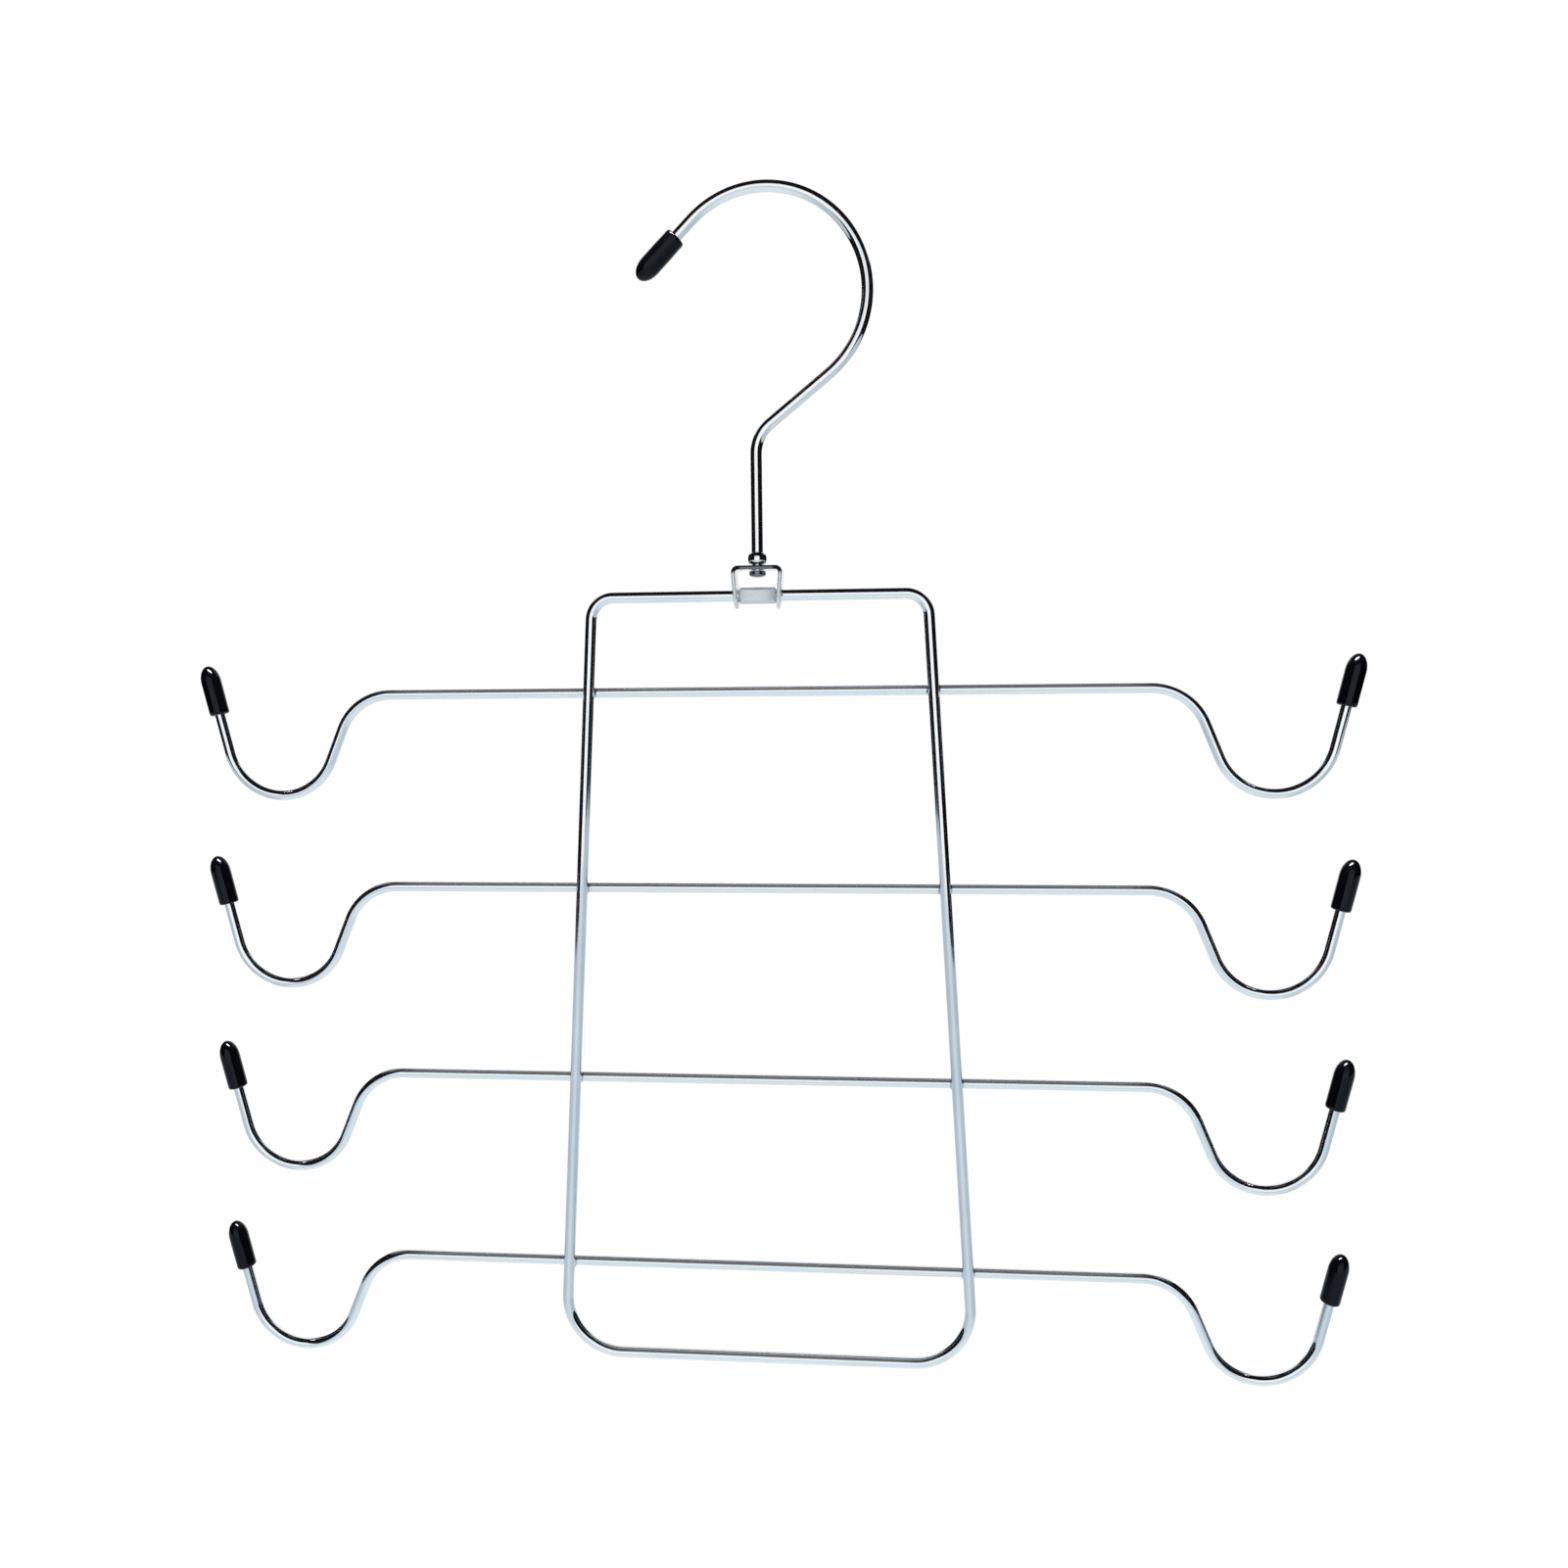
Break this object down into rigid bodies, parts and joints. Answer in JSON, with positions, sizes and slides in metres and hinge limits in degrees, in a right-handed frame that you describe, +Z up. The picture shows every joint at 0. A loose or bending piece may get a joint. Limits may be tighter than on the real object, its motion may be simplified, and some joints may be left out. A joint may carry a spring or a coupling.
{
  "type": "folding multi hanger",
  "caption": "Wire hanger with tiers of strap bars welded behind a tapering loop, upturned ends in vinyl tips, and a round hook on a clip that swivels and folds.",
  "frame": {"origin": "point on the inner side of the hook, straight above the swivel axis, where it rests on a rod", "axes": "+X to the right along the bars, +Y away from the viewer, from the loop to the bars behind it and along the rod, +Z up along the hook's shank"},
  "size_m": [0.359, 0.0098, 0.367],
  "materials": {
    "hook_chrome": "bright chrome plate on drawn steel wire",
    "frame_chrome": "bright chrome plate on drawn steel wire",
    "clip_nickel": "bright nickel plate on pressed steel strap",
    "black_vinyl": "glossy dipped vinyl"
  },
  "bodies": {
    "hook": {"hook_wire": "hook_chrome", "hook_tip": "black_vinyl"},
    "clip": {"swivel_clip": "clip_nickel"},
    "tier_frame": {"loop_wire": "frame_chrome", "tier_1_bar": "frame_chrome", "tier_2_bar": "frame_chrome", "tier_3_bar": "frame_chrome", "tier_4_bar": "frame_chrome", "tier_1_tip_left": "black_vinyl", "tier_1_tip_right": "black_vinyl", "tier_2_tip_left": "black_vinyl", "tier_2_tip_right": "black_vinyl", "tier_3_tip_left": "black_vinyl", "tier_3_tip_right": "black_vinyl", "tier_4_tip_left": "black_vinyl", "tier_4_tip_right": "black_vinyl"}
  },
  "joints": [
    {"name": "hook_swivel", "type": "hinge", "parent": "hook", "child": "clip", "pos_m": [0, 0, -0.10937], "axis": [0, 0, 1], "continuous": true},
    {"name": "frame_fold", "type": "hinge", "parent": "clip", "child": "tier_frame", "pos_m": [0, 0, -0.1176], "axis": [1, 0, 0], "range_deg": [-175, 164]}
  ]
}
